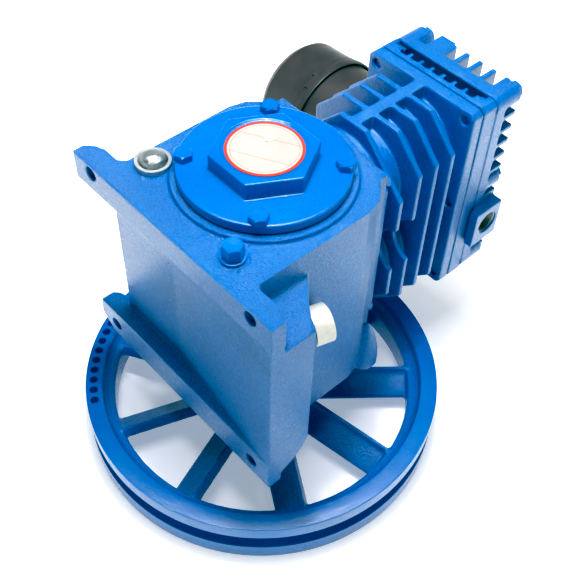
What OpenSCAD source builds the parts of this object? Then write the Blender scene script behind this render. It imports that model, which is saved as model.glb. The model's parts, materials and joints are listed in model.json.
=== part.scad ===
// Belt-driven air compressor pump: twin in-line cylinders, splash lubricated.
// The pump stands on its flywheel.  +Z is the crankshaft axis, away from the
// flywheel; +X runs along the cylinders to the head; the mounting base faces -X.
// The origin is on the shaft axis in the plane of the flywheel's outer face.

/* [Flywheel] */
// Flywheel outside diameter
wheel_d = 305; // [300:1:310]
// Flywheel width, with the belt groove
wheel_w = 44.8; // [44:0.2:46]
// Number of fan-blade spokes
spokes = 9; // [6:1:10]
// Pitch of the spoke blades in degrees
spoke_pitch = 32; // [20:1:38]

/* [Crankcase] */
// Half width of the crankcase
case_y = 73; // [72:1:75]
// Height of the crankcase end face above the flywheel face
case_top = 274; // [272:1:276]
// Height of the crankcase floor on the flywheel side
case_low = 84; // [82:1:86]
// Distance of the base face from the shaft axis
base_x = 86.4; // [85:0.1:88]
// Half width of the mounting base
base_y = 106; // [104:1:108]
// Base bolt spacing across the shaft
bolt_pitch_y = 170.7; // [168:0.1:173]
// Base bolt spacing along the shaft
bolt_pitch_z = 168.9; // [167:0.1:171]
// Base bolt hole diameter
bolt_hole_d = 11; // [10:0.5:12]

/* [Cylinders] */
// Cylinder bore
bore_d = 64; // [64:1:65]
// Piston stroke
stroke = 38; // [36:1:38]
// Distance between the two bores
bore_pitch = 85; // [84:1:86]
// Height of the middle of the cylinder block
mid_z = 181.5; // [181:0.5:182]
// Half width of the fins and flanges
fin_y = 55; // [54:1:56]
// Half length of the fins and flanges along the shaft
fin_z = 94; // [93:1:95]
// Fin pitch
fin_pitch = 18; // [17:0.5:18]

/* [Intake filter] */
// Diameter of the filter housing
filter_d = 107; // [100:1:110]
// Distance of the filter's outer end from the shaft axis
filter_end = 180; // [175:1:182]

/* [Hidden] */
$fn = 64;
blue = "#1463c4";
iron = "#8b8d90";
steel = "#b9bcc0";
black = "#2a2c2f";
slop = 0.01;
wheel_r = wheel_d / 2;
throw_r = stroke / 2;
bore_r = bore_d / 2;
low_z = mid_z - bore_pitch / 2;
high_z = mid_z + bore_pitch / 2;
bore_zs = [high_z, low_z];
base_mid_z = mid_z + 0.4;
rail_low = 83;
rail_top = 114;
case_deck = 66;
block_foot = 67;
block_deck = 169;
plate_low = 170;
plate_high = 185;
head_low = 186;
head_face = 198;
head_top = 215;
cover_gasket = 0.5;
crown_x = 165;
pin_drop = 24;
wrist_x = crown_x - pin_drop;
wrist_r = 8;
crankpin_r = 12;
big_end_r = 20;
rod_w = 18;
shaft_r = 15;
tail_r = 12.5;
cover_low = 278.3;
cover_top = 286;
cover_r = 61;
hex_top = 299;
land_r = 66;
collar_r = 72.6;
foot_top = 254;
drain_x = -66.5;
drain_y = -46;
glass_x = -52;
glass_y = 57.5;
plug_face = [-21, -90, 215];
plug_turn = -17;
boss_top = 213.8;
port_x = 198;
port_z = 146;
port_r = 10.5;
bolt_ys = [-46, 46];
bolt_dzs = [-85, 0, 85];
foot_ys = [-41, 41];
foot_dzs = [-70, 0, 70];
foot_y = 50;
foot_z = 80;
hub_top = 58;

// ---- shared shapes -------------------------------------------------------

// A cylinder along +X that starts at x0
module rod_x(x0, y, z, r, l) {
    translate([x0, y, z]) rotate([0, 90, 0]) cylinder(r = r, h = l);
}

// A cylinder along -Y that starts at y0
module rod_back(x, y0, z, r, l) {
    translate([x, y0, z]) rotate([90, 0, 0]) cylinder(r = r, h = l);
}

// A cylinder along +Y that starts at y0
module rod_y(x, y0, z, r, l) {
    translate([x, y0, z]) rotate([-90, 0, 0]) cylinder(r = r, h = l);
}

// A cylinder along +Z that starts at z0
module rod_z(x, y, z0, r, l) {
    translate([x, y, z0]) cylinder(r = r, h = l);
}

// A ring along +Z
module ring_z(z0, r_out, r_in, l) {
    difference() {
        rod_z(0, 0, z0, r_out, l);
        rod_z(0, 0, z0 - 1, r_in, l + 2);
    }
}

// A box from its low corner and its high corner
module span(low, high) {
    translate(low) cube(high - low);
}

// A rectangle in Y and Z with chamfered corners, as a slab along X
module slab_x(x0, x1, half_y, half_z, corner) {
    outline = [
        for (s = [[1, 1], [-1, 1], [-1, -1], [1, -1]])
            for (k = s[0] * s[1] > 0 ? [0, 1] : [1, 0])
                [s[0] * (half_y - k * corner), s[1] * (half_z - (1 - k) * corner)]
    ];
    translate([x0, 0, mid_z])
        rotate([90, 0, 90])
            linear_extrude(x1 - x0) polygon(outline);
}

// Hexagon bolt along -Z: head on top of z0, shank below
module bolt_down(z0, head_r, head_h, shank_r, shank_l) {
    translate([0, 0, z0]) cylinder(r = head_r, h = head_h, $fn = 6);
    translate([0, 0, z0 - shank_l]) cylinder(r = shank_r, h = shank_l + slop);
}

// ---- crankcase and its covers ---------------------------------------------

module case_outline() {
    polygon([
        [-72, -case_y], [30, -case_y], [42, -70], [54, -60], [58, -fin_y],
        [case_deck, -fin_y], [case_deck, fin_y], [58, fin_y], [54, 60],
        [42, 70], [30, case_y], [-72, case_y]
    ]);
}

// Ear at the +Y end of a rail: seen from above it swells out of the case and ends
// in a flat bolt seat; outline is its side view in Y and Z
module base_ear(outline) {
    intersection() {
        translate([-base_x, 0, 0])
            linear_extrude(300)
                polygon([
                    [0, 60], [0, base_y], [10, base_y], [16, base_y - 6], [18.4, base_y - 13],
                    [18.4, 79], [22, 74.5], [28, 71.5], [34, 60]
                ]);
        translate([-base_x - 1, 0, 0]) rotate([90, 0, 90]) linear_extrude(60) polygon(outline);
    }
}

// Foot at the -Y end of the base: plan view, sloped top and cut low corner
module base_foot() {
    intersection() {
        translate([0, 0, rail_low])
            linear_extrude(180)
                polygon([
                    [-base_x, -base_y], [-48, -base_y], [-45, -99], [-39, -89], [-30, -79],
                    [-25, -72.5], [-25, -60], [-base_x, -60]
                ]);
        translate([-base_x - 1, 0, 0])
            rotate([90, 0, 90])
                linear_extrude(80)
                    polygon([
                        [-base_y - 1, rail_low - 1], [-base_y - 1, 242.2], [-73, foot_top],
                        [-59, foot_top], [-59, rail_low - 1]
                    ]);
        translate([0, -59, 0])
            rotate([90, 0, 0])
                linear_extrude(60)
                    polygon([
                        [-base_x - 1, rail_low - 1], [-81, rail_low - 1], [-75, 91], [-65, 96],
                        [-55, 104], [-47.5, 115], [-24, 140], [-24, 270], [-base_x - 1, 270]
                    ]);
    }
}

// A cylinder along the oil plug's axis, from a to b behind the plug's outer face
module on_plug_axis(r, a, b) {
    translate(plug_face) rotate([0, 0, plug_turn]) rotate([0, -90, 0])
        translate([0, 0, a]) cylinder(r = r, h = b - a);
}

module case_solid() {
    translate([0, 0, case_low]) linear_extrude(case_top - case_low) case_outline();
    // round collar over the cylinders' foot flange, and the land of the end cover
    rod_z(0, 0, 265.5, collar_r, case_top - 265.5);
    rod_z(0, 0, case_top - slop, land_r, cover_low - cover_gasket - case_top + slop);
    // mounting rails and the plate between them
    span([-base_x, -base_y, 250], [-74, 80, case_top]);
    span([-base_x, -base_y, rail_low], [-74, 80, rail_top]);
    span([-74.5, -96, 83], [-70, 84, case_top]);
    base_ear([[50, 250], [base_y, 250], [base_y, case_top], [50, case_top]]);
    base_ear([
        [50, rail_low], [base_y - 16, rail_low], [base_y, rail_low + 14],
        [base_y, rail_top - 12], [base_y - 2, rail_top], [50, rail_top]
    ]);
    // ear over the foot, and the wedge that carries the sloped base face
    translate([-base_x, 0, 236])
        linear_extrude(case_top - 236)
            polygon([
                [0, -60], [0, -base_y], [12, -base_y], [14, -98], [14, -79.5], [17, -76],
                [19, -73], [19, -60]
            ]);
    translate([0, 0, 100])
        linear_extrude(160)
            polygon([[-74, 18], [-base_x, -base_y + 4], [-70, -base_y + 4], [-70, 18]]);
    base_foot();
    on_plug_axis(16, 15, 36);
    // bearing housing on the flywheel side
    translate([0, 0, 62]) cylinder(r1 = 36, r2 = 56, h = case_low - 62 + slop);
    rod_z(0, 0, 60, 34, 3);
    // guard lugs beside the flywheel
    for (s = [-1, 1])
        translate([51.5, s * 67, case_low])
            rotate_extrude()
                polygon([
                    [0, 0], [12, 0], [12, 8], [11.2, 16], [9.4, 26], [6.6, 36], [3.4, 43.5],
                    [1, 47], [0, 47]
                ]);
    // ring bosses of the drain plug and the sight glass
    rod_z(drain_x, drain_y, case_top - slop, 10.5, 1.4);
    rod_z(glass_x, glass_y, case_top - slop, 13.5, 0.8);
}

module crankcase() {
    color(blue) difference() {
        case_solid();
        // channel between the rails
        translate([0, 0, rail_top])
            linear_extrude(250 - rail_top)
                polygon([
                    [-base_x - 1, 140], [-72, 140], [-72, 15],
                    [-base_x + 0.3, 1 - base_y], [-base_x - 1, -1 - base_y]
                ]);
        // crank chamber, open to the cylinders and to the end cover
        span([-62.5, -case_y + 9, 100], [36, case_y - 9, 263]);
        span([30, -50, 100], [54, 50, 263]);
        for (z = bore_zs) rod_x(50, 0, z, 36.2, 20);
        rod_z(0, 0, 255, 50, 30);
        // bearing seat, seal seat and shaft hole
        rod_z(0, 0, 84, 31.01, 30);
        rod_z(0, 0, 50, 21.01, 50);
        rod_z(0, 0, 59, 24.01, 14);
        // base bolts
        for (y = [-1, 1], z = [-1, 1])
            rod_x(-base_x - 1, y * bolt_pitch_y / 2, base_mid_z + z * bolt_pitch_z / 2,
                  bolt_hole_d / 2, 60);
        // drain hole, oil window and the filling hole with its cross drilling
        rod_z(drain_x, drain_y, 255, 6, 40);
        rod_z(glass_x, glass_y, 255, 8, 40);
        rod_z(glass_x, glass_y, case_top + 0.79, 13.6, 10);
        on_plug_axis(14.6, -2, 15);
        on_plug_axis(10.05, 14, 34);
        rod_y(-49.5, -82, plug_face[2], 6, 26);
        // end cover and cylinder bolts
        for (a = [45:90:315]) rotate(a) rod_z(55.5, 0, 262.5, 4.05, 30);
        for (y = foot_ys, dz = foot_dzs) rod_x(46, y, mid_z + dz, 4.05, 30);
    }
}

module end_cover_gasket() {
    color(black) difference() {
        rod_z(0, 0, cover_low - cover_gasket, cover_r, cover_gasket);
        rod_z(0, 0, cover_low - 2, 50, 4);
        for (a = [45:90:315]) rotate(a) rod_z(55.5, 0, 270, 4.4, 30);
    }
}

module end_cover() {
    color(blue) difference() {
        union() {
            rod_z(0, 0, cover_low, cover_r, cover_top - cover_low);
            rod_z(0, 0, 257, 49.9, cover_low - 257 + slop);
            translate([0, 0, cover_top - slop])
                rotate(30) cylinder(r = 39, h = hex_top - cover_top, $fn = 6);
        }
        // label recess, bearing seat and the hollow behind the spigot
        rod_z(0, 0, hex_top - 1.2, 30, 3);
        rod_z(0, 0, 250, 26.05, 30);
        difference() {
            rod_z(0, 0, 250, 45, 18);
            rod_z(0, 0, 249, 31, 20);
        }
        for (a = [45:90:315]) rotate(a) rod_z(55.5, 0, 270, 4.4, 30);
        rod_z(8, 5, hex_top - 8, 1.6, 10);
    }
}

module end_cover_bolts() {
    color(blue)
        for (a = [45:90:315])
            rotate(a) translate([55.5, 0, 0]) bolt_down(cover_top, 7.5, 5.5, 4, 20);
}

module cover_disc() {
    color("#efe9d8") difference() {
        rod_z(0, 0, hex_top - 1.2, 27.5, 0.6);
        rod_z(8, 5, hex_top - 8, 1.6, 10);
    }
}

module disc_rivet() {
    color(steel) {
        rod_z(8, 5, hex_top - 6, 1.5, 6);
        rod_z(8, 5, hex_top - 0.6, 3, 0.7);
    }
}

module sight_glass_ring() {
    color(steel) difference() {
        union() {
            rod_z(glass_x, glass_y, case_top + 0.8, 13, 4);
            rod_z(glass_x, glass_y, case_top - 6, 7.9, 8);
        }
        rod_z(glass_x, glass_y, case_top + 2.5, 10.6, 6);
        rod_z(glass_x, glass_y, case_top - 8, 6, 14);
    }
}

module sight_glass_dome() {
    color("#dfeaf2", 0.5) translate([glass_x, glass_y, case_top + 2.5])
        intersection() {
            cylinder(r = 10.5, h = 12);
            translate([0, 0, -3]) sphere(r = 12);
        }
}

module drain_plug() {
    color(steel) {
        translate([drain_x, drain_y, case_top + 3.5]) cylinder(r = 7.6, h = 10.5, $fn = 6);
        rod_z(drain_x, drain_y, case_top + 1.5, 9, 2.2);
        rod_z(drain_x, drain_y, case_top - 12, 5.9, 14);
    }
}

module oil_fill_plug() {
    color("#d9d6cc") {
        on_plug_axis(14, 0, 14);
        on_plug_axis(10, 14 - slop, 25);
    }
}

module oil_fill_gasket() {
    color(black) difference() {
        on_plug_axis(13.5, 14.05, 14.95);
        on_plug_axis(10.2, 13, 17);
    }
}

module bearing_race(z, w, r_a, r_b, ball_ring, ball_r) {
    difference() {
        ring_z(z, r_b, r_a, w);
        translate([0, 0, z + w / 2])
            rotate_extrude() translate([ball_ring, 0]) circle(r = ball_r + 0.06);
    }
}

module bearing_outer_races() {
    color(steel) {
        bearing_race(84.2, 16, 26, 31, 23, 4.6);
        bearing_race(262.6, 15, 21.6, 26, 19.25, 4);
    }
}

module shaft_seal() {
    color(black) ring_z(61, 24, shaft_r + 0.05, 9);
}

// ---- cylinders, valve plate and head -------------------------------------------

module cylinder_base_gasket() {
    color(black) difference() {
        slab_x(case_deck + 0.1, block_foot - 0.1, foot_y, foot_z, 14);
        for (z = bore_zs) rod_x(60, 0, z, 36.2, 20);
        for (y = foot_ys, dz = foot_dzs) rod_x(46, y, mid_z + dz, 4.4, 30);
    }
}

// Both finned barrels are one casting between a foot flange and a deck flange
module block_solid() {
    slab_x(block_foot, block_foot + 9, foot_y, foot_z, 14);
    slab_x(158, block_deck, fin_y, fin_z, 4);
    for (i = [0:3])
        slab_x(84 + i * fin_pitch, 88.5 + i * fin_pitch, fin_y + 0.5, fin_z, i == 0 ? 42 : 27);
    for (z = bore_zs) {
        rod_x(58, 0, z, 36, 12);
        rod_x(70, 0, z, 40, 92);
    }
    // wall between the barrels and the spines on both ends
    span([70, -22, low_z], [160, 22, high_z]);
    span([84, -5, mid_z - fin_z], [160, 5, mid_z + fin_z]);
}

module cylinder_block() {
    color(blue) difference() {
        block_solid();
        for (z = bore_zs) rod_x(50, 0, z, bore_r, 130);
        // clearance for the middle bolts of the foot flange
        for (s = [-1, 1]) translate([80, s * 62, mid_z])
            rotate([0, 90, 0]) cylinder(r = 23, h = 30);
        for (y = foot_ys, dz = foot_dzs) rod_x(60, y, mid_z + dz, 4.4, 20);
        for (y = bolt_ys, dz = bolt_dzs) rod_x(150, y, mid_z + dz, 4.05, 30);
        // drilling in the edge of the deck flange
        rod_y(163, 40, mid_z + 70, 3, 30);
    }
}

module cylinder_base_bolts() {
    color(steel)
        for (y = foot_ys, dz = foot_dzs)
            translate([block_foot + 9, y, mid_z + dz])
                rotate([0, 90, 0]) bolt_down(0, 7, 5, 4, 22);
}

module valve_plate_gasket() {
    color(black) difference() {
        slab_x(block_deck + 0.05, plate_low - 0.05, fin_y - 1, fin_z - 1, 4);
        for (z = bore_zs) rod_x(160, 0, z, bore_r + 1, 20);
        for (y = bolt_ys, dz = bolt_dzs) rod_x(150, y, mid_z + dz, 4.4, 40);
    }
}

// Reeds lie along Y: the intake reed under the plate, the discharge reed above
module reed(x0, y0, z, l, w, t) {
    difference() {
        union() {
            span([x0, y0, z - w / 2], [x0 + t, y0 + l - w / 2, z + w / 2]);
            rod_x(x0, y0 + l - w / 2, z, w / 2, t);
        }
        rod_x(x0 - 1, y0 + 5, z, 2.3, 4);
    }
}

module valve_plate() {
    color(blue) difference() {
        slab_x(plate_low, plate_high, fin_y, fin_z, 4);
        // cooling channel with short ribs, along the top side of the joint
        for (y = [-34:11.4:35])
            span([175, y - 4, mid_z + fin_z - 12], [184, y + 4, mid_z + fin_z + 1]);
        span([180, -39, mid_z + fin_z - 12], [plate_high + 1, 39, mid_z + fin_z + 1]);
        span([180, -45, mid_z + fin_z - 3], [plate_high + 1, 47, mid_z + fin_z + 1]);
        for (z = bore_zs) {
            // discharge chamber pocket and ports
            span([178, -34, z + 3], [plate_high + 1, 20, z + 27]);
            rod_x(160, -14, z - 10, 5.5, 40);
            rod_x(160, 8, z + 15, 5, 40);
            rod_x(165, -28, z + 15, 2.05, 30);
            rod_x(165, 17, z - 10, 2.05, 12);
        }
        for (y = bolt_ys, dz = bolt_dzs) rod_x(150, y, mid_z + dz, 4.4, 60);
    }
}

module reed_stops() {
    color(steel)
        for (z = bore_zs) difference() {
            union() {
                span([179, -33, z + 9], [181.25, -22, z + 21]);
                span([181.25 - slop, -33, z + 10], [182.6, 15, z + 20]);
            }
            rod_x(170, -28, z + 15, 2.3, 20);
        }
}

module reed_screws() {
    color(steel)
        for (z = bore_zs) {
            rod_x(172, -28, z + 15, 2, 11);
            rod_x(182.6, -28, z + 15, 3.6, 2);
            rod_x(168.9, 17, z - 10, 2, 7.2);
            rod_x(167.9, 17, z - 10, 3.4, 1.05);
        }
}

module intake_reed(z) {
    color(steel) translate([0, 0, z - 10]) mirror([0, 1, 0])
        translate([0, -22, 0]) reed(169.25, 0, 0, 44, 13, 0.4);
}

module discharge_reed(z) {
    color(steel) reed(178.2, -33, z + 15, 48, 12, 0.5);
}

module head_gasket() {
    color(black) difference() {
        slab_x(plate_high + 0.05, head_low - 0.05, fin_y - 0.5, fin_z - 0.5, 4);
        for (z = bore_zs) {
            span([180, -36, z + 2], [190, 21, z + 28]);
            span([180, -21, z - 28], [190, 36, z - 2]);
        }
        for (y = bolt_ys, dz = bolt_dzs) rod_x(150, y, mid_z + dz, 4.4, 60);
    }
}

module head_solid() {
    slab_x(head_low, head_face, fin_y, fin_z, 5);
    // cross fins over the middle, short fins over both ends
    for (z = [mid_z - 69.5:13.9:mid_z + 70])
        span([head_face - slop, -fin_y + 1, z - 2.4], [head_top - 1, fin_y - 1, z + 2.4]);
    for (y = [-40:13.6:42], s = [-1, 1])
        translate([0, 0, mid_z + s * 84])
            span([head_face - slop, y - 2.4, -10], [head_top, y + 2.4, 10]);
    // end boss and bolt bosses
    span([head_face - slop, 16, mid_z + 74], [head_top + 2, 31, mid_z + fin_z]);
    for (y = bolt_ys, dz = bolt_dzs) rod_x(head_low, y, mid_z + dz, 9.6, boss_top - head_low);
    // discharge boss, with a flare along the joint, and intake boss
    span([181, -64, 126], [213, -50, 164]);
    span([head_low, -51, 126], [211, -34, 164]);
    span([head_low, 34, 126], [213, 64, 166]);
}

module cylinder_head() {
    color(blue) difference() {
        head_solid();
        // the discharge boss clears the valve plate
        span([170, -fin_y - 0.4, 100], [head_low - slop, 60, 200]);
        // discharge and intake chambers, each pair joined by a gallery along its side
        for (z = bore_zs) {
            span([180, -34, z + 4], [194, 20, z + 26]);
            span([180, -20, z - 26], [194, 34, z - 4]);
        }
        span([180, -34, low_z + 4], [194, -23, high_z + 26]);
        span([180, 23, low_z - 26], [194, 34, high_z - 4]);
        // threaded ports and the passages into the chambers
        rod_back(port_x, -40, port_z, port_r, 40);
        rod_y(port_x, 40, port_z, port_r, 40);
        rod_back(192, -30, port_z + 4, 5, 12);
        rod_y(192, 30, port_z + 4, 5, 12);
        for (y = bolt_ys, dz = bolt_dzs) rod_x(150, y, mid_z + dz, 4.4, 80);
        // spot faces of the head bolts
        for (y = bolt_ys, dz = bolt_dzs) rod_x(boss_top, y, mid_z + dz, 9.5, 12);
        // chamfer on the low corner of the discharge boss
        translate([213, -80, 126]) rotate([0, 45, 0]) cube([14, 25, 14], center = true);
    }
}

module head_bolts() {
    color(blue)
        for (y = bolt_ys, dz = bolt_dzs)
            translate([boss_top + 0.05, y, mid_z + dz])
                rotate([0, 90, 0]) bolt_down(0, 7.5, 5.5, 4, 53);
}

// ---- intake filter -----------------------------------------------------------

module filter_nipple() {
    color(iron) difference() {
        union() {
            rod_y(port_x, 46, port_z, port_r - 0.04, 44);
            rod_y(port_x, 64, port_z, 14, 10);
        }
        rod_y(port_x, 40, port_z, 7.5, 60);
    }
}

// Shell of revolution about the port's axis, from a profile of [radius, y]
module filter_turn(profile) {
    translate([port_x, 0, port_z]) rotate([-90, 0, 0]) rotate_extrude() polygon(profile);
}

module filter_base() {
    r = filter_d / 2;
    color(black) filter_turn([
        [port_r, 74.2], [20, 74.2], [24, 79], [r - 9, 84], [r - 4, 90], [r - 3.4, 128],
        [r - 2.2, 128], [r - 2.2, 131], [r - 6, 131], [r - 7, 92], [r - 12, 87],
        [22, 82.5], [18, 88], [port_r, 88]
    ]);
}

module filter_element() {
    color("#d8cfae") filter_turn([[20, 92], [40, 92], [40, 168], [20, 168]]);
}

module filter_cover() {
    r = filter_d / 2;
    color(black) {
        filter_turn([
            [r - 1.9, 124], [r, 124], [r, 131], [r - 1.4, 132.5], [r - 1.4, 140], [r - 2.6, 170],
            [r - 9, filter_end - 2], [r - 18, filter_end], [0, filter_end],
            [0, filter_end - 3], [r - 18, filter_end - 3], [r - 10, filter_end - 5],
            [r - 5.4, 169], [r - 4.6, 131.5], [r - 1.9, 131.5]
        ]);
        for (a = [20:120:260])
            translate([port_x, 0, port_z]) rotate([0, a, 0])
                span([r - 3, 133.5, -8], [r + 1.2, 138.5, 8]);
    }
}

// ---- crankshaft and flywheel ---------------------------------------------------

// A crank cheek: round at the shaft and at the pin, both joined
module cheek(z0, h, side) {
    hull() {
        translate([side * throw_r, 0, z0]) cylinder(r = 17, h = h, $fn = 32);
        translate([-side * 10, 0, z0]) cylinder(r = 22, h = h, $fn = 32);
    }
}

module crankshaft() {
    color(iron) difference() {
        union() {
            rod_z(0, 0, 12, shaft_r, 106);
            cheek(114, 14, -1);
            rod_z(-throw_r, 0, 127, crankpin_r, 24);
            cheek(150, 12, -1);
            rod_z(0, 0, 160, 18, 43);
            cheek(201, 12, 1);
            rod_z(throw_r, 0, 212, crankpin_r, 24);
            cheek(235, 14, 1);
            rod_z(0, 0, 248, tail_r, 30);
            rod_z(0, 0, 248, 17, 14);
            rod_z(0, 0, 100.5, 18, 14);
        }
        // keyway, threaded end and the two puller holes in the tail
        span([shaft_r - 4, -4.02, 5], [shaft_r + 2, 4.02, 56]);
        rod_z(0, 0, 5, 5.02, 40);
        for (s = [-1, 1]) rod_z(s * throw_r / 2, 0, 266, 2.54, 20);
    }
}

module bearing_inner_races() {
    color(steel) {
        bearing_race(84.4, 16, shaft_r + 0.01, 20, 23, 4.6);
        bearing_race(262.4, 15, tail_r + 0.01, 17, 19.25, 4);
    }
}

module bearing_balls() {
    color(steel) {
        for (a = [0:40:320]) rotate(a) translate([23, 0, 92.3]) sphere(r = 4.55);
        for (a = [0:40:320]) rotate(a) translate([19.25, 0, 270]) sphere(r = 3.95);
    }
}

module wheel_rim() {
    rotate_extrude($fn = 180) polygon([
        [wheel_r - 14, wheel_w], [wheel_r, wheel_w], [wheel_r, wheel_w - 13.6],
        [wheel_r - 14, wheel_w - 18.5], [wheel_r - 14, 20.5], [wheel_r, 15.6],
        [wheel_r, 0], [wheel_r - 13, 0], [wheel_r - 19, 8], [wheel_r - 24, 9],
        [wheel_r - 24, 33], [wheel_r - 19, 34], [wheel_r - 15, 38]
    ]);
}

// Fan-blade spoke with a thin ridge along its leading edge
module spoke() {
    rotate([90, 0, 90]) translate([0, 22, 26]) linear_extrude(wheel_r - 48)
        rotate(spoke_pitch) union() {
            translate([-14, -3.6]) square([28, 7.2]);
            translate([10.5, -3.6]) square([3.5, 10]);
        }
}

module flywheel() {
    color(blue) difference() {
        union() {
            wheel_rim();
            difference() {
                for (i = [0:spokes - 1]) rotate(i * 360 / spokes) spoke();
                ring_z(-30, wheel_r + 40, wheel_r - 18, 120);
            }
            rod_z(0, 0, 6, 34, hub_top - 6);
        }
        rod_z(0, 0, -1, shaft_r + 0.02, 80);
        rod_z(0, 0, -20, 24, 32);
        span([shaft_r - 1, -4.02, 0], [shaft_r + 3.5, 4.02, 80]);
        // balance drillings in the rim
        for (i = [0:8]) rotate(118.5 + i * 4.15)
            rod_z(wheel_r - 6.8, 0, wheel_w - 9, 3.4, 10);
    }
}

module flywheel_key() {
    color(steel) span([shaft_r - 3.9, -4, 13], [shaft_r + 3.4, 4, 55]);
}

module flywheel_washer() {
    color(steel) ring_z(9, 21, 5.2, 3);
}

module flywheel_bolt() {
    color(steel) {
        rod_z(0, 0, 8, 5, 34);
        translate([0, 0, 2]) cylinder(r = 9.8, h = 7, $fn = 6);
    }
}

// ---- rods and pistons --------------------------------------------------------------

// Shared side view of a rod's big end, split through the crankpin's centre
module big_end(side, z) {
    difference() {
        union() {
            rod_z(side * throw_r, 0, z - rod_w / 2, big_end_r, rod_w);
            for (s = [-1, 1])
                span([side * throw_r - 8, s * 18 - 6, z - 8], [side * throw_r + 8, s * 18 + 6, z + 8]);
        }
        rod_z(side * throw_r, 0, z - rod_w, crankpin_r + 0.04, 2 * rod_w);
        for (s = [-1, 1]) {
            rod_x(side * throw_r - 40, s * 18, z, 3.05, 80);
            rod_x(side * throw_r - 30, s * 18, z, 5.8, 22);
            rod_x(side * throw_r + 8, s * 18, z, 5.8, 22);
        }
    }
}

module connecting_rod(side, z) {
    lift = (side - 1) * throw_r;
    rod_end = wrist_x - 10.5 - 1.2 + lift;
    foot = side * throw_r + 16;
    color(iron) {
        intersection() {
            big_end(side, z);
            span([side * throw_r + 0.05, -40, z - 20], [side * throw_r + 60, 40, z + 20]);
        }
        // I-section shank that stops short of the wrist pin
        difference() {
            translate([0, 0, z - 7]) linear_extrude(14)
                polygon([[foot, -9], [rod_end, -6.3], [rod_end, 6.3], [foot, 9]]);
            for (s = [-1, 1]) translate([0, 0, s > 0 ? z + 2.5 : z - 17.5])
                linear_extrude(15)
                    polygon([[foot + 8, -5.5], [rod_end - 8, -3.4], [rod_end - 8, 3.4], [foot + 8, 5.5]]);
        }
    }
}

module rod_cap(side, z) {
    color(iron) {
        intersection() {
            big_end(side, z);
            span([side * throw_r - 60, -40, z - 20], [side * throw_r - 0.05, 40, z + 20]);
        }
        // oil dipper
        span([side * throw_r - 36, -3, z - 4], [side * throw_r - big_end_r + 1, 3, z + 4]);
    }
}

module rod_bolts(side, z) {
    color(steel)
        for (s = [-1, 1]) {
            rod_x(side * throw_r - 11, s * 18, z, 3, 24);
            translate([side * throw_r - 12.2, s * 18, z])
                rotate([0, 90, 0]) cylinder(r = 5.4, h = 4.1, $fn = 6);
            translate([side * throw_r + 8.1, s * 18, z])
                rotate([0, 90, 0]) cylinder(r = 5.4, h = 4.1, $fn = 6);
        }
}

module shaft_end_plug(side) {
    color(steel) rod_z(side * throw_r / 2, 0, 266.5, 2.5, 11.5);
}

module piston(side, z) {
    top = crown_x + (side - 1) * throw_r;
    pin = top - pin_drop;
    color("#a7a9ab") difference() {
        union() {
            difference() {
                rod_x(top - 50, 0, z, bore_r - 0.1, 50);
                rod_x(top - 20, 0, z, 24, 13);
                rod_x(top - 60, 0, z, 27.5, 40.01);
            }
            intersection() {
                rod_x(top - 50, 0, z, bore_r - 0.5, 50);
                for (s = [-1, 1])
                    translate([pin, 0, z + s * 20]) cylinder(r = 12.5, h = 18, center = true);
            }
        }
        translate([pin, 0, z - 40]) cylinder(r = wrist_r + 0.02, h = 80);
        for (d = [6.5, 11, 15.5])
            difference() {
                rod_x(top - d, 0, z, bore_r + 2, 2.5);
                rod_x(top - d - 1, 0, z, bore_r - 3.6, 5);
            }
    }
}

module piston_rings(side, z) {
    top = crown_x + (side - 1) * throw_r;
    color(iron)
        for (d = [6.5, 11, 15.5]) difference() {
            rod_x(top - d + 0.05, 0, z, bore_r - 0.04, 2.4);
            rod_x(top - d - 1, 0, z, bore_r - 3.4, 5);
        }
}

module wrist_pin(side, z) {
    pin = wrist_x + (side - 1) * throw_r;
    color(steel) difference() {
        rod_z(pin, 0, z - 27, wrist_r, 54);
        rod_z(pin, 0, z - 28, 4.5, 56);
    }
}

module small_end_bush(side, z) {
    pin = wrist_x + (side - 1) * throw_r;
    color("#b08d57") difference() {
        rod_z(pin, 0, z - 8, 10.5, 16);
        rod_z(pin, 0, z - 20, wrist_r + 0.03, 40);
    }
}

crankcase();
end_cover_gasket();
end_cover();
end_cover_bolts();
cover_disc();
disc_rivet();
sight_glass_ring();
sight_glass_dome();
drain_plug();
oil_fill_plug();
oil_fill_gasket();
bearing_outer_races();
shaft_seal();
cylinder_base_gasket();
cylinder_block();
cylinder_base_bolts();
valve_plate_gasket();
valve_plate();
reed_stops();
reed_screws();
head_gasket();
cylinder_head();
head_bolts();
filter_nipple();
filter_base();
filter_element();
filter_cover();
crankshaft();
bearing_inner_races();
bearing_balls();
flywheel();
flywheel_key();
flywheel_washer();
flywheel_bolt();
connecting_rod(1, high_z);  // connecting_rod_1
connecting_rod(-1, low_z);  // connecting_rod_2
rod_cap(1, high_z);  // rod_cap_1
rod_cap(-1, low_z);  // rod_cap_2
rod_bolts(1, high_z);  // rod_bolts_1
rod_bolts(-1, low_z);  // rod_bolts_2
shaft_end_plug(1);  // shaft_end_plug_1
shaft_end_plug(-1);  // shaft_end_plug_2
piston(1, high_z);  // piston_1
piston(-1, low_z);  // piston_2
piston_rings(1, high_z);  // piston_rings_1
piston_rings(-1, low_z);  // piston_rings_2
wrist_pin(1, high_z);  // wrist_pin_1
wrist_pin(-1, low_z);  // wrist_pin_2
small_end_bush(1, high_z);  // small_end_bush_1
small_end_bush(-1, low_z);  // small_end_bush_2
intake_reed(high_z);  // intake_reed_1
intake_reed(low_z);  // intake_reed_2
discharge_reed(high_z);  // discharge_reed_1
discharge_reed(low_z);  // discharge_reed_2
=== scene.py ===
import json
import math

import bmesh
import bpy
import numpy as np
from mathutils import Matrix, Vector


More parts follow.
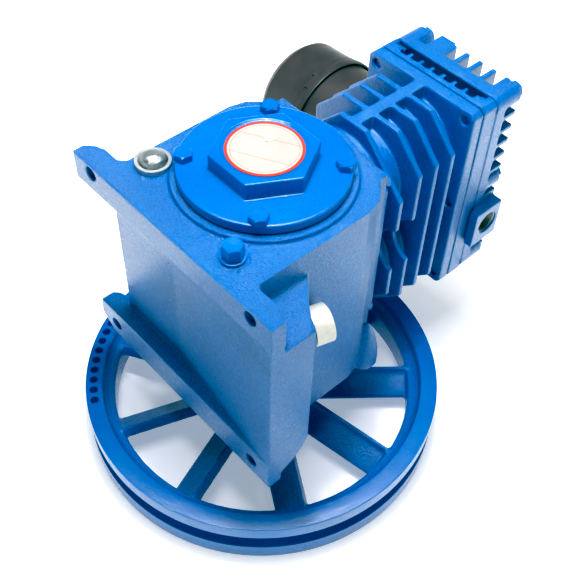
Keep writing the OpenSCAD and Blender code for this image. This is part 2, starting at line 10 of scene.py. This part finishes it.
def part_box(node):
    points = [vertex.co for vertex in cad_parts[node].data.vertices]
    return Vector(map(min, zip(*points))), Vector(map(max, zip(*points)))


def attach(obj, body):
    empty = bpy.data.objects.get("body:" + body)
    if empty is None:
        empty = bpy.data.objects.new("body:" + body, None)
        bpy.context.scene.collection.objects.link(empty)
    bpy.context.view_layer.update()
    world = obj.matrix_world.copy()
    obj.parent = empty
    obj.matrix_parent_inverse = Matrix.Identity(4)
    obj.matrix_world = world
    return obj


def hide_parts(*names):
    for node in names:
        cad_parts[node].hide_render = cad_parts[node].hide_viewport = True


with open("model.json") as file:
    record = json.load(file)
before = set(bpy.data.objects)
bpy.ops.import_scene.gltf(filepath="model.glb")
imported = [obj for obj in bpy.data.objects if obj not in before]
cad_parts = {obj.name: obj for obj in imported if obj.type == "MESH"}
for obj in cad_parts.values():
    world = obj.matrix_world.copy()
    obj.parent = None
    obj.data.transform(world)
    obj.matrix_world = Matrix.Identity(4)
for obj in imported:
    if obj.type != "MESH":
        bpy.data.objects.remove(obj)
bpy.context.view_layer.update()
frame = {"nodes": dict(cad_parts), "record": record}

nodes = frame["nodes"]
MM = 0.001

# ---- places taken from the frame -----------------------------------------------------


def centre(name):
    low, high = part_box(name)
    return (low + high) / 2


disc_low, disc_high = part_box("cover_disc")
disc_r = (disc_high.x - disc_low.x) / 2
dome_low, dome_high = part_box("sight_glass_dome")
lid_low, lid_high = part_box("filter_cover")
shell_low, shell_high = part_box("filter_base")
filter_at = centre("filter_base")
filter_r = (shell_high.x - shell_low.x) / 2 + 2.2 * MM  # the cover's lip stands past the base
wheel_low, wheel_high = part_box("flywheel")
rim_width = 44.8 * MM
rim_low, rim_high = wheel_low.z, wheel_low.z + rim_width
wheel_r = (wheel_high.x - wheel_low.x) / 2
port = next(m for m in frame["record"]["mounts"] if m["name"] == "discharge_port")

# ---- node materials ------------------------------------------------------------------


class Shader:
    """A Principled material and short calls that add nodes to it."""

    def __init__(self, name):
        self.mat = bpy.data.materials.new(name)
        self.mat.use_nodes = True
        self.tree = self.mat.node_tree
        self.bsdf = self.tree.nodes["Principled BSDF"]
        self.coord = self.tree.nodes.new("ShaderNodeTexCoord").outputs["Object"]

    def link(self, a, b):
        self.tree.links.new(a, b)

    def set(self, **values):
        for key, value in values.items():
            socket = self.bsdf.inputs[key.replace("_", " ").title().replace("Ior", "IOR")]
            socket.default_value = value

    def noise(self, scale, detail=3.0, rough=0.55):
        n = self.tree.nodes.new("ShaderNodeTexNoise")
        n.inputs["Scale"].default_value = scale
        n.inputs["Detail"].default_value = detail
        n.inputs["Roughness"].default_value = rough
        self.link(self.coord, n.inputs["Vector"])
        return n.outputs["Fac"]

    def cells(self, scale):
        n = self.tree.nodes.new("ShaderNodeTexVoronoi")
        n.inputs["Scale"].default_value = scale
        self.link(self.coord, n.inputs["Vector"])
        return n.outputs["Distance"]

    def ramp(self, value, *stops):
        n = self.tree.nodes.new("ShaderNodeValToRGB")
        bar = n.color_ramp
        while len(bar.elements) < len(stops):
            bar.elements.new(0.5)
        for element, (at, colour) in zip(bar.elements, stops):
            element.position = at
            element.color = (*colour, 1) if isinstance(colour, tuple) else (colour,) * 3 + (1,)
        self.link(value, n.inputs["Fac"])
        return n.outputs["Color"]

    def mix(self, factor, a, b, blend="MIX"):
        n = self.tree.nodes.new("ShaderNodeMix")
        n.data_type = "RGBA"
        n.blend_type = blend
        for socket, value in ((n.inputs["Factor"], factor), (n.inputs[6], a), (n.inputs[7], b)):
            if isinstance(value, bpy.types.NodeSocket):
                self.link(value, socket)
            elif isinstance(value, tuple):
                socket.default_value = (*value, 1)
            else:
                socket.default_value = value
        return n.outputs[2]

    def math(self, kind, a, b=0.0):
        n = self.tree.nodes.new("ShaderNodeMath")
        n.operation = kind
        for socket, value in zip(n.inputs, (a, b)):
            if isinstance(value, bpy.types.NodeSocket):
                self.link(value, socket)
            else:
                socket.default_value = value
        return n.outputs[0]

    def xyz(self):
        n = self.tree.nodes.new("ShaderNodeSeparateXYZ")
        self.link(self.coord, n.inputs[0])
        return n.outputs

    def radius(self, x, y):
        """Distance from the shaft axis."""
        squares = self.math("ADD", self.math("POWER", x, 2.0), self.math("POWER", y, 2.0))
        return self.math("SQRT", squares)

    def bump(self, height, distance, strength=1.0, under=None):
        n = self.tree.nodes.new("ShaderNodeBump")
        n.inputs["Distance"].default_value = distance
        n.inputs["Strength"].default_value = strength
        self.link(height, n.inputs["Height"])
        if under:
            self.link(under, n.inputs["Normal"])
        return n.outputs["Normal"]

    def into(self, name, value):
        self.link(value, self.bsdf.inputs[name])


def blue_paint(name, grain=1.0, chips=0.3, shade=1.0):
    """Gloss azure enamel over a sand casting; grain scales the casting's roughness."""
    s = Shader(name)
    s.set(metallic=0.0, specular_ior_level=0.15)
    s.set(coat_weight=1.0, coat_roughness=0.06, coat_ior=1.6)
    low, high = (0.0, 0.122 * shade, 0.45 * shade), (0.0, 0.160 * shade, 0.55 * shade)
    tone = s.ramp(s.noise(14, 4), (0.3, low), (0.7, high))
    speck = s.ramp(s.noise(760, 4, 0.7), (0.36, 0.50), (0.60, 1.10))
    tone = s.mix(min(0.6 * grain, 1.0), tone, speck, "MULTIPLY")
    chip = s.ramp(s.noise(170, 5, 0.7), (0.735, 0.0), (0.75, 1.0))
    tone = s.mix(s.math("MULTIPLY", chip, chips), tone, (0.03, 0.04, 0.07))
    s.into("Base Color", tone)
    s.into("Roughness", s.ramp(s.noise(300, 3), (0.3, 0.26), (0.7, 0.42)))
    sand = s.bump(s.noise(620, 4, 0.7), 0.00085 * grain, 0.9)
    lump = s.bump(s.noise(110, 3), 0.0006 * grain, 0.5, sand)
    peel = s.bump(s.noise(1500, 2), 0.00008, 0.6, lump)
    s.into("Normal", peel)
    s.into("Coat Normal", peel)
    return s.mat


def metal(name, colour, rough, scale=400.0, depth=0.00006, metallic=1.0):
    s = Shader(name)
    s.set(metallic=metallic)
    darker = tuple(0.72 * c for c in colour)
    s.into("Base Color", s.ramp(s.noise(90, 5), (0.3, darker), (0.7, colour)))
    s.into("Roughness", s.ramp(s.noise(60, 4), (0.3, rough * 0.75), (0.7, rough * 1.3)))
    s.into("Normal", s.bump(s.noise(scale, 3), depth))
    return s.mat


def black_plastic():
    s = Shader("black_plastic")
    s.set(specular_ior_level=0.55, coat_weight=0.15, coat_roughness=0.35)
    tone = s.ramp(s.noise(30, 4), (0.3, (0.056, 0.036, 0.040)), (0.7, (0.080, 0.054, 0.060)))
    s.into("Base Color", tone)
    s.into("Roughness", s.ramp(s.noise(55, 4), (0.3, 0.36), (0.7, 0.5)))
    s.into("Normal", s.bump(s.noise(2600, 2), 0.00006, 0.7))
    return s.mat


def gasket_sheet():
    s = Shader("gasket_sheet")
    s.set(specular_ior_level=0.3)
    tone = s.ramp(s.noise(700, 3), (0.3, (0.012, 0.013, 0.015)), (0.7, (0.04, 0.04, 0.042)))
    s.into("Base Color", tone)
    s.into("Roughness", s.ramp(s.noise(300), (0.3, 0.6), (0.7, 0.85)))
    s.into("Normal", s.bump(s.noise(1600, 3), 0.0001))
    return s.mat


def filter_paper():
    s = Shader("filter_paper")
    s.set(specular_ior_level=0.2)
    tone = s.ramp(s.noise(900, 4), (0.3, (0.50, 0.44, 0.28)), (0.7, (0.68, 0.62, 0.45)))
    s.into("Base Color", tone)
    s.into("Roughness", s.ramp(s.noise(500), (0.3, 0.75), (0.7, 0.95)))
    s.into("Normal", s.bump(s.cells(700), 0.0004))
    return s.mat


def clear_plastic():
    s = Shader("clear_dome")
    s.set(transmission_weight=1.0, ior=1.48, coat_weight=0.4, coat_roughness=0.03)
    tone = s.ramp(s.noise(60, 3), (0.3, (0.90, 0.94, 0.96)), (0.7, (1.0, 1.0, 1.0)))
    s.into("Base Color", tone)
    s.into("Roughness", s.ramp(s.noise(200, 3), (0.35, 0.01), (0.75, 0.06)))
    return s.mat


def label_print():
    """Cream foil with a red rim and a few fine red lines; no lettering."""
    s = Shader("label_print")
    s.set(coat_weight=0.5, coat_roughness=0.12)
    x, y, _ = s.xyz()
    out = s.radius(x, y)
    rim = s.math("GREATER_THAN", out, disc_r * 0.925)
    slant = s.math("ADD", x, s.math("MULTIPLY", y, 0.55))

    def stripe(value, at, half_width):
        off = s.math("ABSOLUTE", s.math("SUBTRACT", value, at))
        return s.math("LESS_THAN", off, half_width)

    lines = stripe(s.math("ABSOLUTE", slant), disc_r * 0.42, 0.18 * MM)
    ink = s.math("MAXIMUM", lines, stripe(out, disc_r * 0.86, 0.16 * MM))
    red = (0.62, 0.045, 0.030)
    paper = s.ramp(s.noise(45, 4), (0.3, (0.47, 0.41, 0.38)), (0.7, (0.52, 0.46, 0.43)))
    paper = s.mix(s.math("MULTIPLY", ink, 0.75), paper, red)
    s.into("Base Color", s.mix(rim, paper, red))
    s.into("Roughness", s.ramp(s.noise(120, 3), (0.3, 0.3), (0.7, 0.45)))
    s.into("Normal", s.bump(s.noise(220, 2), 0.00008))
    return s.mat


PAINT = blue_paint("blue_paint_casting")
PAINT_FINE = blue_paint("blue_paint_fine", grain=0.35)
PAINT_ROUGH = blue_paint("blue_paint_rough", grain=1.4)
PAINT_SEAM = blue_paint("blue_paint_seam", grain=0.6, shade=0.35)
STEEL = metal("plated_steel", (0.62, 0.63, 0.65), 0.28)
IRON = metal("machined_iron", (0.40, 0.36, 0.34), 0.42, 700, 0.0001)
ALLOY = metal("cast_alloy", (0.62, 0.63, 0.65), 0.4, 900, 0.00012)
BRONZE = metal("bronze", (0.60, 0.42, 0.20), 0.35)
ZINC = metal("zinc_cap", (0.80, 0.79, 0.71), 0.5, 420, 0.0002, 0.25)
MIRROR = metal("glass_reflector", (0.80, 0.82, 0.84), 0.30, 130, 0.0012, 0.85)
SATIN = metal("satin_ring", (0.55, 0.56, 0.56), 0.45, 300, 0.0001, 0.7)
PLASTIC = black_plastic()
GASKET = gasket_sheet()
PAPER = filter_paper()
CLEAR = clear_plastic()
LABEL = label_print()
SLOT_LOOK = {
    "blue_paint": PAINT, "bright_steel": STEEL, "bare_iron": IRON, "cast_aluminium": ALLOY,
    "black_gasket": GASKET, "label_face": LABEL, "clear_window": CLEAR, "zinc_cap": ZINC,
    "black_plastic": PLASTIC, "filter_foam": PAPER, "bronze": BRONZE,
}
slot_of = {row["node"]: row["material_slot"] for row in frame["record"]["subparts"]}
body_of = {n: b for b, ns in frame["record"]["behaviour"]["bodies"].items() for n in ns}


def dress(obj, mat):
    obj.data.materials.clear()
    obj.data.materials.append(mat)


for name, obj in nodes.items():
    dress(obj, SLOT_LOOK[slot_of[name]])
for name in ("end_cover_gasket", "cylinder_base_gasket", "valve_plate_gasket", "head_gasket"):
    dress(nodes[name], PAINT_SEAM)
dress(nodes["sight_glass_ring"], SATIN)
dress(nodes["disc_rivet"], ZINC)

# ---- mesh helpers --------------------------------------------------------------------


def place(name, mesh, mat, like, replaces=True):
    """Makes a piece that rides with CAD node `like` and, if asked, stands for it."""
    obj = bpy.data.objects.new(name, mesh)
    bpy.context.scene.collection.objects.link(obj)
    dress(obj, mat)
    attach(obj, body_of[like])
    if replaces:
        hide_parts(like)
    return obj


def smooth(mesh, angle=None):
    for poly in mesh.polygons:
        poly.use_smooth = True
    if angle is not None:
        mesh.set_sharp_from_angle(angle=math.radians(angle))


def evaluated(obj):
    graph = bpy.context.evaluated_depsgraph_get()
    graph.update()
    return bpy.data.meshes.new_from_object(obj.evaluated_get(graph))


def relax(mesh, rounds):
    """Rounds a mesh's edges and fills its inner corners."""
    count = len(mesh.vertices)
    co = np.empty(count * 3)
    mesh.vertices.foreach_get("co", co)
    co = co.reshape(-1, 3)
    ends = np.empty(len(mesh.edges) * 2, np.int64)
    mesh.edges.foreach_get("vertices", ends)
    a, b = ends.reshape(-1, 2).T
    degree = np.maximum(np.bincount(np.r_[a, b], minlength=count), 1)[:, None]
    for _ in range(rounds):
        for pull in (0.55, -0.30):
            total = np.stack([
                np.bincount(a, co[b, k], count) + np.bincount(b, co[a, k], count)
                for k in range(3)
            ], 1)
            co += pull * (total / degree - co)
    mesh.vertices.foreach_set("co", co.ravel())
    mesh.update()


def cast_skin(node, voxel, rounds, mat):
    """A softened copy of a CAD casting: the same solid with cast radii on its corners."""
    work = bpy.data.objects.new("work", nodes[node].data.copy())
    bpy.context.scene.collection.objects.link(work)
    weld = work.modifiers.new("weld", "WELD")
    weld.merge_threshold = 1e-6
    remesh = work.modifiers.new("remesh", "REMESH")
    remesh.mode = "VOXEL"
    remesh.voxel_size = voxel * 1.0 * MM
    result = evaluated(work)
    bpy.data.objects.remove(work)
    relax(result, rounds)
    smooth(result)
    return place(node + "_casting", result, mat, node)


def frame_from(at, axis):
    """A matrix that puts local +Z along axis at a point."""
    return Matrix.Translation(at) @ Vector(axis).to_track_quat("Z", "Y").to_matrix().to_4x4()


def add_rings(bm, matrix, rings, close_low=True, close_high=True):
    """Joins rings of equal length, given in local coordinates, into a skin."""
    loops = [[bm.verts.new(matrix @ Vector(p)) for p in ring] for ring in rings]
    for lower, upper in zip(loops, loops[1:]):
        for i in range(len(lower)):
            j = (i + 1) % len(lower)
            bm.faces.new((lower[i], lower[j], upper[j], upper[i]))
    if close_low:
        bm.faces.new(loops[0][::-1])
    if close_high:
        bm.faces.new(loops[-1])


def circle(r, z, steps=48):
    turns = [2 * math.pi * i / steps for i in range(steps)]
    return [(r * math.cos(t), r * math.sin(t), z) for t in turns]


def add_hex_head(bm, matrix, flat_r, height, shank_r, shank_l, turn=0.0):
    """Hexagon head with a 30 degree chamfer, washer face and shank; sizes in metres."""
    steps = 48

    def hexagon(z_low, chamfer):
        ring = []
        for i in range(steps):
            angle = 2 * math.pi * i / steps
            off = (angle + math.pi / 6) % (math.pi / 3) - math.pi / 6
            r = flat_r / math.cos(off)
            z = z_low - (r - flat_r * 0.97) * math.tan(math.radians(30)) if chamfer else z_low
            ring.append((r * math.cos(angle + turn), r * math.sin(angle + turn), z))
        return ring

    face = 0.4 * MM
    add_rings(bm, matrix, [
        circle(shank_r, -shank_l), circle(shank_r, 0), circle(flat_r, 0), circle(flat_r, face),
        hexagon(face, False), hexagon(height - 0.3 * MM, True), circle(flat_r * 0.93, height),
        circle(flat_r * 0.6, height), circle(flat_r * 0.3, height - 0.1 * MM),
    ])


def bm_mesh(name, build, angle=32):
    bm = bmesh.new()
    build(bm)
    bmesh.ops.recalc_face_normals(bm, faces=bm.faces)
    mesh = bpy.data.meshes.new(name)
    bm.to_mesh(mesh)
    bm.free()
    smooth(mesh, angle)
    return mesh


def lathe(bm, matrix, profile, steps=128):
    """Closed ring of revolution about local Z; profile(turn) lists its (radius, z) at each turn."""
    turns = [2 * math.pi * i / steps for i in range(steps)]
    rings = [[(r * math.cos(t), r * math.sin(t), z) for r, z in profile(t)] for t in turns]
    loops = [[bm.verts.new(matrix @ Vector(p)) for p in ring] for ring in rings]
    n = len(rings[0])
    for k in range(steps):
        a, b = loops[k], loops[(k + 1) % steps]
        for i in range(n):
            j = (i + 1) % n
            bm.faces.new((a[i], a[j], b[j], b[i]))


def rounded(profile, radius, steps=4):
    """Rounds every corner of a closed profile."""
    out = []
    n = len(profile)
    for i in range(n):
        p, here, q = (Vector(profile[k % n]) for k in (i - 1, i, i + 1))
        r = min(radius, (p - here).length * 0.45, (q - here).length * 0.45)
        a = here + (p - here).normalized() * r
        b = here + (q - here).normalized() * r
        for k in range(steps + 1):
            t = k / steps
            out.append(tuple((1 - t) ** 2 * a + 2 * t * (1 - t) * here + t * t * b))
    return out


# ---- castings ------------------------------------------------------------------------

cast_skin("crankcase", 1.0, 4, PAINT_ROUGH)
cast_skin("cylinder_block", 0.95, 4, PAINT)
cast_skin("cylinder_head", 0.85, 4, PAINT)
cast_skin("valve_plate", 0.8, 3, PAINT)
cast_skin("end_cover", 0.7, 5, PAINT_FINE)

# ---- flywheel ------------------------------------------------------------------------

rim_inner = wheel_r - 14 * MM
drill_r, drill_ring, drill_count, drill_step = 3.4 * MM, wheel_r - 6.8 * MM, 9, 4.15
first_drill = 118.5


def wheel_web():
    """Hub, spokes and the rim's inner band as one casting; the turned rim is a piece of its own."""
    obj = cast_skin("flywheel", 1.2, 14, PAINT)
    bm = bmesh.new()
    bm.from_mesh(obj.data)

    def under_rim(point):
        out = math.hypot(point.x, point.y)
        return out > rim_inner - 0.2 * MM or (point.z > rim_high - 5.6 * MM and out > wheel_r / 2)

    covered = [v for v in bm.verts if under_rim(v.co)]
    bmesh.ops.delete(bm, geom=covered, context="VERTS")
    bm.to_mesh(obj.data)
    bm.free()


def wheel_rim():
    """Turned rim with the belt groove and the nine balance drillings."""
    top = rim_high
    profile = [
        (rim_inner, top), (wheel_r, top),
        # belt groove
        (wheel_r, top - 13.6 * MM), (rim_inner, top - 18.5 * MM),
        (rim_inner, rim_low + 20.5 * MM), (wheel_r, rim_low + 15.6 * MM),
        # outer edge and the inner side
        (wheel_r, rim_low),
        (rim_inner + 1 * MM, rim_low), (rim_inner, rim_low + 1.4 * MM),
        (rim_inner - 0.1 * MM, rim_low + 12 * MM), (rim_inner - 1 * MM, top - 6 * MM),
    ]
    section = rounded(profile, 0.7 * MM)

    def build(bm):
        lathe(bm, Matrix.Identity(4), lambda turn: section, 320)

    rim = bpy.data.objects.new("rim", bm_mesh("rim", build))
    bpy.context.scene.collection.objects.link(rim)
    drills = bmesh.new()
    wide_r = drill_r + 0.8 * MM
    for i in range(drill_count):
        turn = math.radians(first_drill + drill_step * i)
        at = Vector((drill_ring * math.cos(turn), drill_ring * math.sin(turn), 0))
        add_rings(drills, Matrix.Translation(at), [
            circle(drill_r, top - 9 * MM), circle(drill_r, top - 0.6 * MM),
            circle(wide_r, top + 0.2 * MM), circle(wide_r, top + 2 * MM),
        ])
    mesh = bpy.data.meshes.new("drills")
    drills.to_mesh(mesh)
    drills.free()
    cutter = bpy.data.objects.new("cutter", mesh)
    bpy.context.scene.collection.objects.link(cutter)
    cut = rim.modifiers.new("drill", "BOOLEAN")
    cut.object = cutter
    cut.solver = "EXACT"
    result = evaluated(rim)
    bpy.data.objects.remove(rim)
    bpy.data.objects.remove(cutter)
    smooth(result, 32)
    place("flywheel_rim", result, PAINT_FINE, "flywheel")


wheel_web()
wheel_rim()

# ---- fasteners -----------------------------------------------------------------------


def solids(name):
    """Boxes of a CAD node's separate solids, as (low, high) pairs."""
    mesh = nodes[name].data
    bm = bmesh.new()
    bm.from_mesh(mesh)
    bmesh.ops.remove_doubles(bm, verts=bm.verts, dist=1e-6)
    found, seen = [], set()
    for start in bm.verts:
        if start in seen:
            continue
        stack, group = [start], []
        seen.add(start)
        while stack:
            v = stack.pop()
            group.append(v.co.copy())
            for e in v.link_edges:
                w = e.other_vert(v)
                if w not in seen:
                    seen.add(w)
                    stack.append(w)
        co = np.array(group)
        found.append((Vector(co.min(0)), Vector(co.max(0))))
    bm.free()
    return sorted(found, key=lambda box: tuple(round(c, 5) for c in box[0]))


def bolt_group(node, axis, flat_r, height, shank_r):
    """Hexagon bolts in place of a node's plain ones, each turned a little from the last."""
    k = max(range(3), key=lambda i: abs(axis[i]))

    def build(bm):
        for i, (low, high) in enumerate(solids(node)):
            at = (low + high) / 2
            top = high[k] if axis[k] > 0 else low[k]
            at[k] = top - axis[k] * height
            length = (high[k] - low[k]) - height
            add_hex_head(bm, frame_from(at, axis), flat_r, height, shank_r, length, 0.35 * i)

    place(node + "_hex", bm_mesh(node, build), PAINT_FINE, node)


bolt_group("end_cover_bolts", (0, 0, 1), 6.3 * MM, 5.5 * MM, 4 * MM)
bolt_group("head_bolts", (1, 0, 0), 6.3 * MM, 5.5 * MM, 4 * MM)
bolt_group("cylinder_base_bolts", (1, 0, 0), 6 * MM, 5 * MM, 4 * MM)


def build_drain(bm):
    """Tall hexagon plug on a rounded washer."""
    at = centre("drain_plug")
    height = 10.5 * MM
    at.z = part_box("drain_plug")[1].z - height
    add_hex_head(bm, frame_from(at, (0, 0, 1)), 6.6 * MM, height, 5.9 * MM, 14 * MM)
    washer = [(5.9, -2.0), (9.0, -2.0), (9.0, 0.0), (5.9, 0.0)]
    washer = rounded([(r * MM, z * MM) for r, z in washer], 0.7 * MM)
    lathe(bm, Matrix.Translation(at), lambda turn: washer, 64)


place("drain_plug_hex", bm_mesh("drain_plug", build_drain), PAINT_FINE, "drain_plug")

# ---- sight glass, filter and port ----------------------------------------------------


def build_reflector(bm):
    """Bright spun cup under the clear dome."""
    at = Vector(((dome_low.x + dome_high.x) / 2, (dome_low.y + dome_high.y) / 2, dome_low.z))
    r = (dome_high.x - dome_low.x) / 2
    steps = 14
    turns = [math.pi / 2 * k / steps for k in range(steps)]
    rings = [circle(0.86 * r * math.cos(t), 0.2 * MM + 0.66 * r * math.sin(t), 64) for t in turns]
    add_rings(bm, Matrix.Translation(at), rings)


place("sight_glass_reflector", bm_mesh("reflector", build_reflector, 60), MIRROR,
      "sight_glass_ring", replaces=False)

filter_axis = frame_from(Vector((filter_at.x, 0, filter_at.z)), (0, 1, 0))


def turned(node, profile, soft, mat):
    """A turned shell about the filter's axis, from (radius, distance along +Y) in metres."""
    section = rounded(profile, soft)

    def build(bm):
        lathe(bm, filter_axis, lambda turn: section, 160)

    return place(node + "_turned", bm_mesh(node, build, 40), mat, node)


neck, lip, end = shell_low.y, lid_low.y, lid_high.y
turned("filter_base", [
    # outside, from the neck to the cover's lip
    (9.8 * MM, neck + 0.2 * MM), (19 * MM, neck + 0.2 * MM), (22 * MM, neck + 4.5 * MM),
    (filter_r - 9 * MM, neck + 9.8 * MM), (filter_r - 4.2 * MM, neck + 15.5 * MM),
    (filter_r - 3.6 * MM, lip + 2 * MM), (filter_r - 3.6 * MM, lip + 6.5 * MM),
    # inside, back to the neck
    (filter_r - 7 * MM, lip + 6.5 * MM), (filter_r - 8 * MM, neck + 17 * MM),
    (filter_r - 13 * MM, neck + 12.6 * MM), (22 * MM, neck + 8 * MM),
    (18 * MM, neck + 13 * MM), (9.8 * MM, neck + 13 * MM),
], 1.6 * MM, PLASTIC)
turned("filter_cover", [
    # outside, from the lip to the dished end
    (filter_r - 2 * MM, lip + 0.1 * MM), (filter_r - 0.1 * MM, lip + 0.1 * MM),
    (filter_r - 0.1 * MM, lip + 6.6 * MM), (filter_r - 1.5 * MM, lip + 7.6 * MM),
    (filter_r - 1.5 * MM, lip + 14.6 * MM), (filter_r - 2.1 * MM, lip + 15.2 * MM),
    (filter_r - 3.4 * MM, end - 9 * MM), (filter_r - 9 * MM, end - 2 * MM),
    (filter_r - 18 * MM, end), (filter_r - 30 * MM, end), (filter_r - 31 * MM, end - 1.4 * MM),
    (0.4 * MM, end - 1.4 * MM),
    # inside, back to the lip
    (0.4 * MM, end - 3 * MM), (filter_r - 19 * MM, end - 3 * MM),
    (filter_r - 10 * MM, end - 5 * MM), (filter_r - 5.4 * MM, end - 11 * MM),
    (filter_r - 4.6 * MM, lip + 7.4 * MM), (filter_r - 2 * MM, lip + 7.4 * MM),
], 1.0 * MM, PLASTIC)


def curved_tab(bm, matrix, r, z_low, z_high, half_angle, depth):
    """A plate that follows a cylinder of radius r, between two heights."""
    steps, outer = 10, r + depth
    rings = []
    for k in range(steps + 1):
        angle = half_angle * (2 * k / steps - 1)
        c, s = math.cos(angle), math.sin(angle)
        rings.append([(r * c, r * s, z_low), (outer * c, outer * s, z_low),
                      (outer * c, outer * s, z_high), (r * c, r * s, z_high)])
    add_rings(bm, matrix, rings)


def build_latches(bm):
    """Three bayonet hooks of the cover, each a long foot with a hook and a rib on it."""
    tab_r = filter_r - 2.6 * MM
    first_hook = 62
    # turn and half width in degrees; start, end and depth in millimetres
    foot, hook, rib = (0, 9, 6, 9.4, 2.4), (7, 2.2, 8.8, 13.4, 2.4), (-8, 1.4, 8.8, 11.4, 2.2)
    for i in range(3):
        for turn, half, low, high, depth in (foot, hook, rib):
            angle = math.radians(first_hook + 120 * i + turn)
            matrix = filter_axis @ Matrix.Rotation(angle, 4, "Z")
            curved_tab(bm, matrix, tab_r, lip + low * MM, lip + high * MM,
                       math.radians(half), depth * MM)


place("filter_latches", bm_mesh("latches", build_latches), PLASTIC, "filter_cover", replaces=False)


def build_thread(bm):
    """Internal thread of the discharge port: a sleeve whose inner side is a helix."""
    at = Vector(port["pos_m"])
    axis = Vector(port["axis"])
    r = port["dims"]["r_mm"] * MM
    pitch, depth, length, wall, inset = 1.8 * MM, 1.0 * MM, 14 * MM, 0.4 * MM, 5.5 * MM
    rows = int(length / pitch * 8)
    heights = [length * k / rows for k in range(rows + 1)]

    def profile(turn):
        saw = [abs(((z / pitch - turn / (2 * math.pi)) % 1.0) * 2 - 1) for z in heights]
        inner = [(r - depth * k, z) for k, z in zip(saw, heights)]
        return inner + [(r + wall, length), (r + wall, 0)]

    lathe(bm, frame_from(at + axis * inset, -axis), profile, 72)


place("port_thread", bm_mesh("thread", build_thread, 50), IRON, "cylinder_head", replaces=False)

# ---- floor, light and camera ---------------------------------------------------------


def stage_floor():
    """Round pale floor that curves up into a low wall, so that a side view has no dark horizon."""
    bm = bmesh.new()
    flat_r, bend, top = 5.0, 1.5, 2.6
    flat = [(r, -0.1 * MM) for r in (0.02, 0.3, 1.0, flat_r)]
    turns = (0.3, 0.6, 0.9, 1.2, 1.5)
    cove = [(flat_r + bend * math.sin(t), bend - bend * math.cos(t)) for t in turns]
    rings = [circle(r, z, 96) for r, z in flat + cove + [(flat_r + bend, top)]]
    add_rings(bm, Matrix.Identity(4), rings, True, False)
    mesh = bpy.data.meshes.new("floor")
    bm.to_mesh(mesh)
    bm.free()
    smooth(mesh)
    floor = bpy.data.objects.new("floor", mesh)
    bpy.context.scene.collection.objects.link(floor)
    s = Shader("pale_floor")
    s.set(specular_ior_level=0.1)
    tone = s.ramp(s.noise(3, 2), (0.3, (0.91, 0.915, 0.92)), (0.7, (0.93, 0.935, 0.94)))
    s.into("Base Color", tone)
    # Painted light: the floor glows as well as taking the lamps' light, filling its own shadows and
    # evening out the key lamp's falloff; the glow is weaker within 0.12 m of the middle, near full
    # from half a metre out, and fades between 2.5 m and 6 m.
    s.set(roughness=0.9, emission_color=(1.0, 1.0, 1.0, 1.0))
    x, y, _ = s.xyz()
    out = s.radius(x, y)
    near = s.ramp(out, (0.12, 0.30), (0.5, 0.92))
    far = s.ramp(s.math("MULTIPLY", out, 0.1), (0.25, 1.0), (0.60, 0.25))
    s.into("Emission Strength", s.math("MULTIPLY", near, far))
    dress(floor, s.mat)


def softbox(name, at, aim, size, power):
    lamp = bpy.data.lights.new(name, "AREA")
    lamp.shape = "RECTANGLE"
    lamp.size, lamp.size_y = size
    lamp.energy = power
    obj = bpy.data.objects.new(name, lamp)
    bpy.context.scene.collection.objects.link(obj)
    obj.location = at
    obj.rotation_euler = (Vector(aim) - Vector(at)).to_track_quat("-Z", "Y").to_euler()


def camera():
    """The photograph's view: a normal lens about 0.8 m from the flywheel, rolled a little."""
    at = Vector((-0.3200, -0.3622, 0.7209))
    aim = Vector((0.046444, 0.017836, 0.1000))
    roll = math.radians(2.512)
    forward = (aim - at).normalized()
    right = forward.cross(Vector((0, 0, 1))).normalized()
    up = right.cross(forward)
    right_r = right * math.cos(roll) + up * math.sin(roll)
    up_r = up * math.cos(roll) - right * math.sin(roll)
    lens = bpy.data.cameras.new("camera")
    lens.lens = 58.80
    lens.sensor_width = 36.0
    lens.clip_start = 0.01
    obj = bpy.data.objects.new("camera", lens)
    bpy.context.scene.collection.objects.link(obj)
    obj.matrix_world = Matrix((
        (right_r.x, up_r.x, -forward.x, at.x),
        (right_r.y, up_r.y, -forward.y, at.y),
        (right_r.z, up_r.z, -forward.z, at.z),
        (0, 0, 0, 1),
    ))
    bpy.context.scene.camera = obj


stage_floor()
softbox("key", (0.02, 0.02, 1.12), (0.03, 0.02, 0.0), (0.50, 0.50), 9.6)
softbox("glint", (0.02, 0.02, 1.05), (0.06, 0.04, 0.0), (0.05, 0.05), 3.4)
camera()
scene = bpy.context.scene
world = bpy.data.worlds.new("sky")
scene.world = world
world.use_nodes = True
sky = world.node_tree.nodes["Background"]
sky.inputs["Color"].default_value = (0.96, 0.98, 1.0, 1)
sky.inputs["Strength"].default_value = 0.09
scene.view_settings.view_transform = "Standard"
scene.view_settings.look = "Medium High Contrast"
scene.view_settings.use_curve_mapping = True
scene.view_settings.curve_mapping.black_level = (0.055, 0.004, 0.012)
